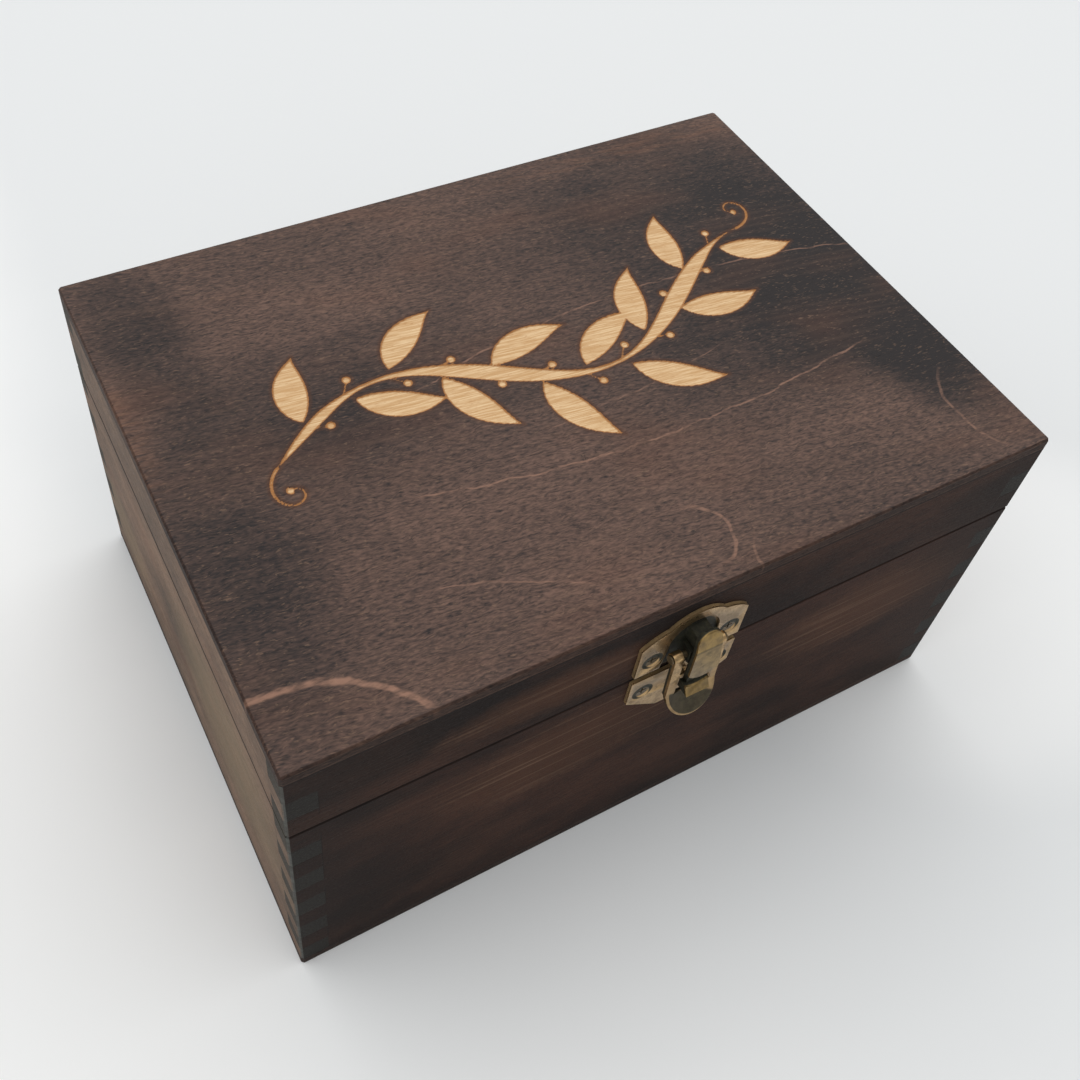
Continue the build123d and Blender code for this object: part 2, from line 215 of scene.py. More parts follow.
# Stained wood; black also paints the shade at the board ends and the shadow along the lid gap, and the pale
# grey paints a highlight on the upright corners
stainedWood = {
    "black": (0.017, 0.0135, 0.0125),
    "red": (0.125, 0.052, 0.031),
    "tan": (0.27, 0.165, 0.105),
    "pore": (0.011, 0.0085, 0.008),
    "glue": (0.006, 0.005, 0.005),
    "wearAndHighlight": (0.12, 0.125, 0.115),
}

# Noise of the wood: repeats per millimetre along X, Y and Z, detail, roughness and its own seed
woodNoise = {
    "cloud": ((0.014, 0.03, 0.03), 4.0, 0.6, 0.0),
    "patch": ((0.022, 0.045, 0.045), 2.0, 0.5, 5.0),
    "bend": ((0.007, 0.035, 0.035), 2.0, 0.5, 9.0),
    "sway": ((0.13, 0.3, 0.3), 2.0, 0.5, 11.0),
    "fibres": ((0.07, 1.1, 1.1), 4.0, 0.65, 13.0),
    "grit": ((0.48, 1.8, 1.8), 1.5, 0.6, 15.0),
    "pores": ((0.33, 2.4, 2.4), 2.0, 0.6, 17.0),
    "flecks": ((0.45, 2.1, 2.1), 2.0, 0.6, 21.0),
    "growthStreaks": ((0.012, 0.75, 0.75), 3.0, 0.6, 27.0),
    "wobble": ((0.4, 0.4, 0.4), 2.0, 0.5, 30.0),
    "endSpots": ((1.6, 1.6, 2.6), 3.0, 0.6, 33.0),
    "jointShow": ((0.09, 0.09, 0.09), 1.0, 0.5, 36.0),
    "raggedEdge": ((0.9, 3.0, 3.0), 1.0, 0.5, 40.0),
    "bareStreaks": ((0.12, 2.6, 2.6), 2.0, 0.5, 44.0),
    "bareTicks": ((0.6, 4.0, 4.0), 1.0, 0.5, 48.0),
    "lineWobble": ((0.09, 0.09, 0.09), 3.0, 0.6, 50.0),
    "lineBreaks": ((0.16, 0.5, 0.5), 2.0, 0.6, 53.0),
    "drift": ((0.014, 0.05, 0.05), 4.0, 0.65, 57.0),
    "wornStreaks": ((0.1, 0.7, 0.7), 3.0, 0.6, 59.0),
}


# Grain that all boards and panels share: pairs are where a soft step starts and ends
grainDetail = {
    "bendReach": 26.0,
    "lineSharpness": 3.0,
    "linePatches": (0.42, 0.62),
    "poreStart": (0.55, 0.68),
    "fleckStart": (0.57, 0.7),
    "textureEnd": 1.25,
    "redPatches": (0.48, 0.75),
}


def stainTone(wood, grain, seed, look, shift=0.0):
    # clouds of stain, growth lines, fibres and pores, as one colour and one height
    cloud = wood.noise(grain, woodNoise["cloud"], seed)
    patch = wood.noise(grain, woodNoise["patch"], seed)
    bend = wood.noise(grain, woodNoise["bend"], seed)
    x, y, z = wood.axes(grain)
    turns = (y + z + bend * grainDetail["bendReach"]) * (math.tau / look["ringSpacing"])
    rings = (turns.sine() * 0.5 + 0.5).power(grainDetail["lineSharpness"])
    lines = rings * patch.step(*grainDetail["linePatches"])
    sway = (wood.noise(grain, woodNoise["sway"], seed) - 0.5) * look["sway"]
    wavy = wood.node("CombineXYZ", {}, {0: x, 1: y + sway, 2: z + sway})
    fibres = wood.noise(wavy, woodNoise["fibres"], seed)
    grit = wood.noise(wavy, woodNoise["grit"], seed)
    pores = wood.noise(wavy, woodNoise["pores"], seed).step(*grainDetail["poreStart"])
    flecks = wood.noise(wavy, woodNoise["flecks"], seed).step(*grainDetail["fleckStart"])
    texture = (fibres - 0.5) * look["fibreContrast"] + (grit - 0.5) * look["gritContrast"]
    cover = cloud.step(look["cloudLow"], look["cloudHigh"], look["lightest"], look["darkest"]) + shift
    # the texture fades where the stain is deep
    depth = cover + texture * (grainDetail["textureEnd"] - cover)
    colour = wood.mix(depth, look["brown"], look["dark"])
    red = patch.step(*grainDetail["redPatches"]) * look["redness"]
    colour = wood.mix(red, colour, stainedWood["red"])
    pale = lines * look["lineStrength"] + flecks * look["fleckStrength"]
    colour = wood.mix(pale, colour, stainedWood["tan"])
    colour = wood.mix(pores * look["poreStrength"], colour, stainedWood["pore"])
    return colour, fibres * 0.5 + grit * 0.5 - pores


# Details of the boards: sizes in millimetres, strengths, and pairs where a soft step starts and ends
boardDetail = {
    "endStart": (0.5, 0.3),
    "outerStart": (0.9, 0.5),
    "cornerStart": (0.75, 0.6),
    "fingerLine": (0.06, 0.3),
    "shoulderLine": (0.05, 0.28),
    "jointSoftness": 0.1,
    "jointShow": (0.42, 0.62),
    "jointStrength": 0.6,
    "jointDepth": 1.5,
    "fingerWobble": 0.4,
    "shoulderWobble": 0.5,
    "thinEdge": (0.0, 1.6),
    "thinStrength": 0.45,
    "streakStart": (0.52, 0.66),
    "streakStrength": 0.36,
    "endSpots": (0.3, 0.7),
    "endSpotStrength": 0.4,
    "shadeReach": 45.0,
    "bottomBandHeight": 2.0,
    "bottomBandWobble": 3.0,
    "bottomBandStrength": 0.35,
    "gapCore": 0.3,
    "gapStrength": 0.8,
    "cornerStrength": 1.1,
    "roughness": (0.55, 0.7),
    "bump": (0.5, 0.00008),
}


def nearEdge(value, half, start):
    # 1 from just inside of the half-size outwards
    return abs(value).step(half - start[0], half - start[1])


def boardFinish(name, part, look):
    # part is the frame that the board belongs to: its fingers give the joint lines
    wood = Finish(name)
    seed = look["seed"] + (0.0 if part == "base" else 2.3)
    place = wood.millimetres()
    grain = wood.stretched(place, (1.0, 1.0, 1.0), look["turn"])
    colour, height = stainTone(wood, grain, seed, look)
    x, y, z = wood.axes(place)
    runsAlongX = look["turn"] == 0.0
    half = box["halfWidth"] if runsAlongX else box["halfDepth"]
    run = x if runsAlongX else y
    along = abs(run)
    top = box["baseTop"] if part == "base" else box["lidTop"]
    bottom = box["baseBottom"] if part == "base" else box["lidBottom"]
    finger = (top - bottom) / (box["baseFingers"] if part == "base" else box["lidFingers"])
    wobble = wood.noise(place, woodNoise["wobble"], seed) - 0.5
    # places where the stain is thin: growth lines and warm wood show
    for middle, level, reach, rise in look["thinPlaces"]:
        away = ellipse(run, z, (middle, level), (reach, rise)) + wobble
        thin = away.step(*boardDetail["thinEdge"], 1.0, 0.0)
        streak = wood.noise(grain, woodNoise["growthStreaks"], seed)
        colour = wood.mix(thin * boardDetail["thinStrength"], colour, look["thinColour"])
        streak = thin * streak.step(*boardDetail["streakStart"]) * boardDetail["streakStrength"]
        colour = wood.mix(streak, colour, stainedWood["tan"])
    endSpots = wood.noise(place, woodNoise["endSpots"], seed)
    endFrom, endTo = (half - inset for inset in boardDetail["endStart"])
    isEnd = along.step(endFrom, endTo)
    endStain = endSpots.step(*boardDetail["endSpots"]) * boardDetail["endSpotStrength"]
    colour = wood.mix(isEnd, colour, wood.mix(endStain, look["endColour"], stainedWood["black"]))
    # joint lines show here and there, where the glue took the stain
    jointShow = wood.noise(place, woodNoise["jointShow"], seed).step(*boardDetail["jointShow"])
    shoulder = half - box["board"]
    nearJoint = along.step(shoulder - boardDetail["jointSoftness"], shoulder + boardDetail["jointSoftness"])
    fromLine = (top - z + wobble * boardDetail["fingerWobble"]).toNearest(finger)
    fingerLine = fromLine.step(*boardDetail["fingerLine"], 1.0, 0.0) * nearJoint
    fromShoulder = abs(along - shoulder + wobble * boardDetail["shoulderWobble"])
    shoulderLine = fromShoulder.step(*boardDetail["shoulderLine"], 1.0, 0.0)
    joint = fingerLine.larger(shoulderLine) * jointShow
    colour = wood.mix(joint * boardDetail["jointStrength"], colour, stainedWood["glue"])
    # darker towards the bottom of each board
    bottomBandTop = bottom + boardDetail["bottomBandHeight"]
    towardsBottom = (z + wobble * boardDetail["bottomBandWobble"]).step(bottom, bottomBandTop, 1.0, 0.0)
    towardsBottom = towardsBottom * boardDetail["bottomBandStrength"]
    shade = along.step(half - boardDetail["shadeReach"], half) * look["endShade"]
    seam = abs(z - box["baseTop"]).smaller(abs(z - box["lidTop"]))
    outerX = nearEdge(x, box["halfWidth"], boardDetail["outerStart"])
    outer = outerX.larger(nearEdge(y, box["halfDepth"], boardDetail["outerStart"]))
    gapCore = look["gapShadow"] * boardDetail["gapCore"]
    gap = seam.step(gapCore, look["gapShadow"], boardDetail["gapStrength"], 0.0) * outer
    colour = wood.mix(towardsBottom.larger(shade).larger(gap), colour, stainedWood["black"])
    # painted highlight: a pale line down the box's upright corners, where the bevel would catch the light
    cornerX = nearEdge(x, box["halfWidth"], boardDetail["cornerStart"])
    corner = cornerX * nearEdge(y, box["halfDepth"], boardDetail["cornerStart"])
    colour = wood.mix(corner * (wobble + 0.5) * boardDetail["cornerStrength"], colour, stainedWood["wearAndHighlight"])
    wood.surface(
        Base_Color=colour,
        Roughness=endSpots.step(*boardDetail["endSpots"], *boardDetail["roughness"]),
        Normal=wood.bump(height - joint * boardDetail["jointDepth"], *boardDetail["bump"]),
    )
    wood.shader.inputs["Specular IOR Level"].default_value = look["gloss"]
    return wood.material


# the ends of one board's fingers lie in the next board's face, so endColour follows that face and its
# painted light
# painted light: the side boards are painted much lighter than the front, as if lit from the left, and the
# front darker, as if in shade; the back copies the front
frontLook = {
    "turn": 0.0, "seed": 4.0, "ringSpacing": 1.35, "cloudLow": 0.35, "cloudHigh": 0.66, "sway": 3.0,
    "brown": (0.06, 0.0275, 0.0185), "dark": (0.0135, 0.0095, 0.0088), "lightest": 0.25, "darkest": 0.92,
    "redness": 0.2, "lineStrength": 0.05, "fleckStrength": 0.03, "fibreContrast": 1.5,
    "gritContrast": 1.0, "poreStrength": 0.45, "gloss": 0.06, "endColour": (0.075, 0.066, 0.048),
    "endShade": 0.5, "gapShadow": 0.45, "thinColour": (0.105, 0.047, 0.026),
    "thinPlaces": ((-30.0, 63.0, 38.0, 17.0), (66.0, 62.0, 34.0, 15.0), (-40.0, 97.0, 30.0, 8.0)),
}
sideLook = {
    "turn": math.pi / 2, "seed": 27.0, "ringSpacing": 1.5, "cloudLow": 0.32, "cloudHigh": 0.68, "sway": 3.0,
    "brown": (0.23, 0.144, 0.094), "dark": (0.035, 0.026, 0.02), "lightest": 0.08, "darkest": 0.75,
    "redness": 0.4, "lineStrength": 0.2, "fleckStrength": 0.3, "fibreContrast": 1.6,
    "gritContrast": 1.3, "poreStrength": 0.4, "gloss": 0.1, "endColour": (0.02, 0.0185, 0.0155),
    "endShade": 0.15, "gapShadow": 1.2, "thinColour": (0.2, 0.155, 0.09),
    "thinPlaces": ((-38.0, 52.0, 42.0, 30.0), (62.0, 28.0, 24.0, 16.0)),
}
boardLooks = {
    "front": frontLook,
    "back": dict(frontLook, seed=61.0, ringSpacing=1.6, thinPlaces=((30.0, 40.0, 50.0, 18.0),)),
    "left": sideLook,
    "right": dict(sideLook, seed=83.0, lightest=0.2, darkest=0.85, thinPlaces=()),
}
lidDarkening = {"front": 0.12, "side": 0.06}  # how much darker the lid's boards are than the base's
for part in ("base", "lid"):
    for side, look in boardLooks.items():
        if part == "lid":
            extra = lidDarkening["side"] if side in ("left", "right") else lidDarkening["front"]
            look = dict(look, lightest=look["lightest"] + extra, darkest=look["darkest"] + extra)
        dress(nodes[f"{part}_{side}_board"], boardFinish(f"{part}{side.title()}Wood", part, look))
print("boards finished")

# Engraving on the lid: a leafy sprig, cut as strokes with a changing half-width
sprig = {
    "start": (-80.0, -4.0),
    "end": (81.0, 13.0),
    "wave": 13.5,
    "turns": 1.25,
    "stem": (0.6, 2.8),
    "leafLength": (20.0, 28.0),
    "leafHalfWidth": 4.6,
    "leafAngle": 52.0,
    "leafBend": 24.0,
    "leafGap": 2.8,
    "leafPlaces": (0.07, 0.15, 0.23, 0.31, 0.385, 0.46, 0.535, 0.61, 0.685, 0.76, 0.84, 0.92),
    "leafShape": (0.85, 1.15),
    "stemTaper": 9.0,
    "stemExtra": 0.12,
    "twig": (6.2, 0.3, 40.0),
    "curlLength": 24.0,
    "curlTurn": (3.0, 17.0),
    "curlWidth": (0.55, 0.25),
    "berry": 1.35,
    "reach": 3.0,
    "far": 9.0,
    "depth": 0.32,
    "wall": 0.5,
    "cell": 0.6,
    "middle": (0.0, 5.0),
    "fieldSize": (192.0, 92.0),
}


def stemPoint(t):
    x = sprig["start"][0] + (sprig["end"][0] - sprig["start"][0]) * t
    y = sprig["start"][1] + (sprig["end"][1] - sprig["start"][1]) * t
    return Vector((x, y + sprig["wave"] * math.sin(math.tau * sprig["turns"] * t)))


def stemDirection(t):
    return (stemPoint(t + 0.002) - stemPoint(t - 0.002)).normalized()


def turned(direction, degrees):
    angle = math.radians(degrees)
    return Vector((
        direction.x * math.cos(angle) - direction.y * math.sin(angle),
        direction.x * math.sin(angle) + direction.y * math.cos(angle),
    ))


def stemStroke(steps=90):
    thin, thick = sprig["stem"]
    stroke = []
    for index in range(steps + 1):
        t = index / steps
        swell = abs(math.cos(math.tau * sprig["turns"] * t)) ** 2
        taper = min(1.0, sprig["stemTaper"] * t, sprig["stemTaper"] * (1 - t))
        stroke.append((stemPoint(t), (thin + (thick - thin) * swell) * taper + sprig["stemExtra"]))
    return stroke


def leafStroke(t, side, length, steps=14):
    direction = turned(stemDirection(t), side * sprig["leafAngle"])
    place = stemPoint(t) + direction * sprig["leafGap"]
    skew, point = sprig["leafShape"]
    stroke = []
    for index in range(steps + 1):
        u = index / steps
        stroke.append((place.copy(), sprig["leafHalfWidth"] * math.sin(math.pi * u ** skew) ** point))
        place += turned(direction, -side * sprig["leafBend"] * (u - 0.2) * 1.6) * (length / steps)
    return stroke


def curlStroke(place, direction, side, length, steps=40):
    # tendril that winds up towards its end in a small round bud
    width, narrowing = sprig["curlWidth"]
    turn, tightening = sprig["curlTurn"]
    stroke = []
    for index in range(steps + 1):
        u = index / steps
        stroke.append((place.copy(), width - narrowing * u if u < 1 else sprig["berry"]))
        direction = turned(direction, side * (turn + tightening * u * u))
        place = place + direction * (length / steps)
    return stroke


def sprigStrokes():
    strokes = [stemStroke()]
    shortest, longest = sprig["leafLength"]
    twigLength, twigWidth, twigAngle = sprig["twig"]
    for index, t in enumerate(sprig["leafPlaces"]):
        side = 1 if index % 2 == 0 else -1
        size = math.sin(math.pi * (0.12 + 0.76 * t))
        strokes.append(leafStroke(t, side, shortest + (longest - shortest) * size))
        bud = stemPoint(t) + turned(stemDirection(t), -side * twigAngle) * twigLength
        strokes.append([(stemPoint(t), twigWidth), (bud, twigWidth), (bud, sprig["berry"])])
    strokes.append(curlStroke(stemPoint(0.0), -stemDirection(0.0), 1, sprig["curlLength"]))
    strokes.append(curlStroke(stemPoint(1.0), stemDirection(1.0), 1, sprig["curlLength"]))
    return strokes


def strokeDistance(place, stroke):
    # signed distance to a stroke's outline, below 0 inside it
    nearest = math.inf
    for (first, firstHalf), (second, secondHalf) in zip(stroke, stroke[1:]):
        run = second - first
        reach = run.length_squared
        u = min(1.0, max(0.0, (place - first).dot(run) / reach)) if reach else 1.0
        gap = (place - first - run * u).length - (firstHalf + (secondHalf - firstHalf) * u)
        nearest = min(nearest, gap)
    return nearest


def strokeBounds(stroke, margin):
    xs = [point.x for point, half in stroke]
    ys = [point.y for point, half in stroke]
    margin += max(half for point, half in stroke)
    return min(xs) - margin, max(xs) + margin, min(ys) - margin, max(ys) + margin


def engraveLid():
    # the panel's top face gets a fine grid, lowered inside the strokes
    shape = mergedCopy("lid_top_panel")
    away = shape.verts.layers.float.new("engraving")
    shape.faces.ensure_lookup_table()
    topFace = max(shape.faces, key=lambda face: face.calc_center_median().z + face.calc_area())
    rim = list(topFace.edges)
    bmesh.ops.delete(shape, geom=[topFace], context="FACES_ONLY")
    columns, rows = (round(size / sprig["cell"]) for size in sprig["fieldSize"])
    grid = bmesh.ops.create_grid(shape, x_segments=columns, y_segments=rows, size=0.5)["verts"]
    bmesh.ops.scale(shape, verts=grid, vec=(sprig["fieldSize"][0] * mm, sprig["fieldSize"][1] * mm, 1.0))
    middle = Vector((sprig["middle"][0] * mm, sprig["middle"][1] * mm, box["top"] * mm))
    bmesh.ops.translate(shape, verts=grid, vec=middle)
    gridEdges = {edge for vert in grid for edge in vert.link_edges if edge.is_boundary}
    bmesh.ops.triangle_fill(shape, edges=rim + list(gridEdges), use_beauty=True)
    for vert in shape.verts:
        vert[away] = sprig["far"]
    strokes = [(stroke, strokeBounds(stroke, sprig["reach"])) for stroke in sprigStrokes()]
    for vert in grid:
        place = Vector((vert.co.x / mm, vert.co.y / mm))
        distance = sprig["far"]
        for stroke, (left, right, near, far) in strokes:
            if left < place.x < right and near < place.y < far:
                distance = min(distance, strokeDistance(place, stroke))
        vert[away] = min(distance, sprig["reach"])
        sink = min(1.0, max(0.0, -distance / sprig["wall"]))
        vert.co.z -= sprig["depth"] * mm * sink * sink * (3 - 2 * sink)
    bmesh.ops.recalc_face_normals(shape, faces=shape.faces)
    return shape


# Growth lines of the lid's veneer, each an arc: its middle, radius, from and to along X, width, strength
veneerLines = (
    ((40.0, -268.0), 284.0, -38.0, 108.0, 0.35, 0.5),
    ((20.0, 300.0), 335.0, -52.0, 84.0, 0.4, 0.55),
    ((-24.0, 330.0), 350.5, -14.0, 46.0, 0.3, 0.3),
    ((-108.0, -100.0), 39.5, -112.0, -74.0, 1.15, 0.7),
    ((-92.0, -170.0), 122.0, -62.0, -26.0, 0.35, 0.4),
    ((4.0, -66.0), 9.0, 6.0, 16.0, 0.7, 0.5),
    ((28.0, -80.0), 14.5, 5.0, 16.0, 0.5, 0.4),
    ((112.0, -62.0), 20.0, 82.0, 97.0, 0.6, 0.4),
)

# Darker and lighter places of the lid's stain, which also paint the broad sheen across the top: middle,
# half-size, strength
stainAndSheenPlaces = (
    ((72.0, 30.0), (52.0, 42.0), 0.52),
    ((-95.0, 48.0), (12.0, 28.0), 0.38),
    ((-48.0, 4.0), (52.0, 26.0), 0.3),
    ((-100.0, -38.0), (18.0, 34.0), 0.33),
    ((102.0, -38.0), (16.0, 26.0), 0.5),
    ((96.0, -6.0), (34.0, 38.0), 0.36),
    ((45.0, -20.0), (44.0, 16.0), 0.2),
    ((-12.0, -58.0), (60.0, 24.0), -0.1),
)

# Details of the panels: colours, sizes and places in millimetres, strengths, and pairs of a soft step
panelDetail = {
    "lineColour": (0.37, 0.2, 0.135),
    "wornColour": (0.24, 0.115, 0.066),
    "edgeColour": (0.021, 0.0145, 0.0125),
    "scorchColour": (0.085, 0.032, 0.014),
    "bareColours": ((0.6, 0.36, 0.17), (0.8, 0.57, 0.33)),
    "tickColour": (0.42, 0.2, 0.08),
    "burntColour": (0.34, 0.13, 0.035),
    "sideStart": (0.7, 0.4),
    "plies": (1.2, 2.8),
    "wornLeft": (103.0, 109.5),
    "wornLeftRange": (0.0, 38.0),
    "wornBackRange": (69.5, 77.0),
    "wornBackFade": (-10.0, 60.0),
    "wornBackStrength": 0.8,
    "wornSoftness": (6.0, 2.0),
    "wornWobble": 2.0,
    "wornStreaks": (0.42, 0.6),
    "wornStrength": 0.28,
    "stainAndSheenDrift": 2.4,
    "stainAndSheenEdge": (-0.3, 2.1),
    "lineWobble": 4.0,
    "lineBreaks": (0.35, 0.6, 0.15, 1.0),
    "lineCore": 0.3,
    "lineFade": 4.0,
    "coreSoftness": 0.08,
    "coreStrength": 0.25,
    "glueEdge": (0.05, 0.22),
    "glueStrength": 0.35,
    "seamEdge": (0.15, 0.5),
    "seamStrength": 0.9,
    "frontShade": 0.5,
    "endShade": 0.4,
    "raggedness": 0.3,
    "scorchEdge": (0.0, 1.2),
    "scorchStrength": 0.6,
    "bareStreaks": (0.35, 0.7),
    "ticks": (0.6, 0.72),
    "tickStrength": 0.45,
    "burntEdge": (-0.75, -0.25),
    "burntStrength": 0.85,
    "cutEdge": (-0.2, 0.02),
    "cutSmoothness": 0.6,
    "roughness": (-0.6, 0.8, 0.75, 0.6),
    "bump": (0.6, 0.00009),
    "gloss": 0.06,
    "coatRoughness": 0.5,
}


def veneerLine(wood, x, y, wobble, middle, radius, start, end, width, strength):
    away = abs(fromMiddle(x - middle[0], y - middle[1]) - radius + wobble)
    line = away.step(width * panelDetail["lineCore"], width, strength, 0.0)
    return line * x.inside(start, end, panelDetail["lineFade"])


def panelFinish(name, level, seed, look, isLid):
    wood = Finish(name)
    place = wood.millimetres()
    grain = wood.stretched(place, (1.0, 1.0, 1.0), look["turn"])
    x, y, z = wood.axes(place)
    shift = 0.0
    if isLid:
        # the stain's darker and lighter places, also painting the broad sheen across the lid
        drift = wood.noise(place, woodNoise["drift"], seed)
        for middle, reach, strength in stainAndSheenPlaces:
            away = ellipse(x, y, middle, reach) + (drift - 0.5) * panelDetail["stainAndSheenDrift"]
            shift = away.step(*panelDetail["stainAndSheenEdge"], strength, 0.0) + shift
    colour, height = stainTone(wood, grain, seed, look, shift)
    if isLid:
        wobble = (wood.noise(place, woodNoise["lineWobble"], seed) - 0.5) * panelDetail["lineWobble"]
        broken = wood.noise(place, woodNoise["lineBreaks"], seed).step(*panelDetail["lineBreaks"])
        lines = veneerLine(wood, x, y, wobble, *veneerLines[0])
        for line in veneerLines[1:]:
            lines = lines.larger(veneerLine(wood, x, y, wobble, *line))
        colour = wood.mix(lines * broken, colour, panelDetail["lineColour"])
        streak = wood.noise(grain, woodNoise["wornStreaks"], seed).step(*panelDetail["wornStreaks"])
        leftSoftness, backSoftness = panelDetail["wornSoftness"]
        wornLeft = (x * -1.0 + wobble * panelDetail["wornWobble"]).step(*panelDetail["wornLeft"])
        wornLeft = wornLeft * y.inside(*panelDetail["wornLeftRange"], leftSoftness)
        wornBack = y.inside(*panelDetail["wornBackRange"], backSoftness)
        wornBack = wornBack * x.step(*panelDetail["wornBackFade"]) * panelDetail["wornBackStrength"]
        wearAndHighlight = wornLeft.larger(wornBack) * streak * panelDetail["wornStrength"]
        colour = wood.mix(wearAndHighlight, colour, panelDetail["wornColour"])
    # three plies show at the edges
    lower, upper = panelDetail["plies"]
    endSide = nearEdge(x, box["halfWidth"], panelDetail["sideStart"])
    frontSide = nearEdge(y, box["halfDepth"], panelDetail["sideStart"])
    side = endSide.larger(frontSide)
    core = (z - level).inside(lower, upper, panelDetail["coreSoftness"]) * side
    fromGlue = abs(z - level - lower).smaller(abs(z - level - upper))
    glue = fromGlue.step(*panelDetail["glueEdge"], 1.0, 0.0) * side
    seam = abs(z - level - look["seam"]).step(*panelDetail["seamEdge"], 1.0, 0.0) * side
    # painted shade on the panel's front and end sides
    edge = (frontSide * panelDetail["frontShade"]).larger(endSide * panelDetail["endShade"])
    colour = wood.mix(edge, colour, panelDetail["edgeColour"])
    colour = wood.mix(core * panelDetail["coreStrength"], colour, stainedWood["pore"])
    dark = (glue * panelDetail["glueStrength"]).larger(seam * panelDetail["seamStrength"])
    colour = wood.mix(dark, colour, stainedWood["glue"])
    sheen = (side * -1.0 + 1.0) * look["sheen"]
    if isLid:
        away = wood.node("Attribute", {"attribute_name": "engraving"}, {}, "Fac")
        ragged = wood.noise(place, woodNoise["raggedEdge"], seed) - 0.5
        ragged = away + ragged * panelDetail["raggedness"]
        scorch = ragged.step(*panelDetail["scorchEdge"], panelDetail["scorchStrength"], 0.0)
        colour = wood.mix(scorch, colour, panelDetail["scorchColour"])
        streaks = wood.noise(grain, woodNoise["bareStreaks"], seed).step(*panelDetail["bareStreaks"])
        bare = wood.mix(streaks, *panelDetail["bareColours"])
        ticks = wood.noise(grain, woodNoise["bareTicks"], seed).step(*panelDetail["ticks"])
        bare = wood.mix(ticks * panelDetail["tickStrength"], bare, panelDetail["tickColour"])
        burnt = ragged.step(*panelDetail["burntEdge"]) * panelDetail["burntStrength"]
        bare = wood.mix(burnt, bare, panelDetail["burntColour"])
        isCut = ragged.step(*panelDetail["cutEdge"], 1.0, 0.0)
        colour = wood.mix(isCut, colour, bare)
        height = height * (1.0 - isCut * panelDetail["cutSmoothness"])
        sheen = sheen * (1.0 - isCut)
    wood.surface(
        Base_Color=colour,
        Roughness=height.step(*panelDetail["roughness"]),
        Coat_Weight=sheen,
        Normal=wood.bump(height, *panelDetail["bump"]),
    )
    wood.shader.inputs["Specular IOR Level"].default_value = panelDetail["gloss"]
    wood.shader.inputs["Coat Roughness"].default_value = panelDetail["coatRoughness"]
    return wood.material


lidPanelLook = {
    "turn": math.radians(6.5), "ringSpacing": 3.4, "cloudLow": 0.26, "cloudHigh": 0.74, "sway": 3.5,
    "brown": (0.17, 0.099, 0.074), "dark": (0.0205, 0.0162, 0.0162), "lightest": 0.36, "darkest": 0.66,
    "redness": 0.28, "lineStrength": 0.07, "fleckStrength": 0.36, "fibreContrast": 1.15,
    "gritContrast": 2.3, "poreStrength": 0.4, "sheen": 0.28, "seam": 0.0,
}
basePanelLook = dict(
    lidPanelLook, turn=0.0, lightest=0.5, darkest=0.95, fleckStrength=0.1, sheen=0.1, seam=4.0)
lidPanelWood = panelFinish("lidPanelWood", box["lidTop"], 42.0, lidPanelLook, True)
dress(nodes["base_bottom_panel"], panelFinish("basePanelWood", 0.0, 57.0, basePanelLook, False))
lidPanel = addPiece(
    "engravedLidPanel", engraveLid(), "lid", lidPanelWood, ["lid_top_panel"])
print("lid engraved:", len(lidPanel.data.polygons), "faces")

# Aged brass of the latch and the hinges. Heights are from the lid gap, reaches from the front board.
plateLow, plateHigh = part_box("latch_base_plate")
agedBrass = {
    "bright": (0.52, 0.345, 0.168),
    "dull": (0.35, 0.228, 0.112),
    "gold": (0.37, 0.242, 0.084),
    "oldGold": (0.2, 0.132, 0.056),
    "deep": (0.021, 0.02, 0.0125),
    "green": (0.04, 0.038, 0.021),
    "steel": (0.19, 0.145, 0.1),
    "cavity": 0.004,
    "wear": (0.3, 0.7),
    "greenBlotches": (0.4, 0.65),
    "hidden": (0.15, 0.55, 0.85, 0.0),
    "spots": (0.5, 0.72),
    "spotStrength": 0.5,
    "thinEdge": (0.7, 0.95, 0.5, 0.0),
    "metallic": 0.95,
    "roughness": 0.34,
    "bump": (0.3, 0.00006),
    "gapHalf": 0.2,
    "latchMiddle": (plateLow[0] + plateHigh[0]) / 2 / mm,
    "screwPlaces": ((-11.5, 8.3), (11.5, 8.3), (-11.5, -6.7), (11.5, -6.7)),
}

# Noise of the brass: repeats per millimetre, detail, roughness and seed
brassNoise = {
    "wear": ((0.35, 0.35, 0.35), 3.0, 0.6, 2.0),
    "blotch": ((0.9, 0.9, 0.9), 3.0, 0.6, 8.0),
    "spots": ((0.45, 0.45, 0.45), 4.0, 0.7, 14.0),
    "dents": ((0.7, 0.7, 0.7), 3.0, 0.6, 5.0),
}

# The latch's shapes that the patina, the painted shade and the painted highlights follow: rises from the
# lid gap, reaches from the front board, slopes
latchShape = {
    "archWidth": 0.0145,
    "archSpring": 9.0,
    "archHeight": 0.0094,
    "creaseRise": 14.6,
    "creaseLine": 14.4,
    "creaseReach": 7.15,
    "crownSlope": 0.181,
    "tipSlope": 0.0759,
    "jawRise": -2.0,
    "jawReach": 7.3,
    "jawSlope": 0.545,
    "webTop": 1.0,
    "pinRise": 9.7,
    "barReach": 5.1,
    "barSlope": 0.0392,
    "bendRise": -5.6,
    "bendReach": 5.7,
    "bendSlope": 0.427,
    "dishMiddle": (0.4, -6.5),
    "dishEdge": (6.9, 7.25),
    "holeEdge": (2.95, 3.25),
    "crescentMiddle": (0.45, -1.1),
    "crescentEdge": (1.6, 2.1),
}


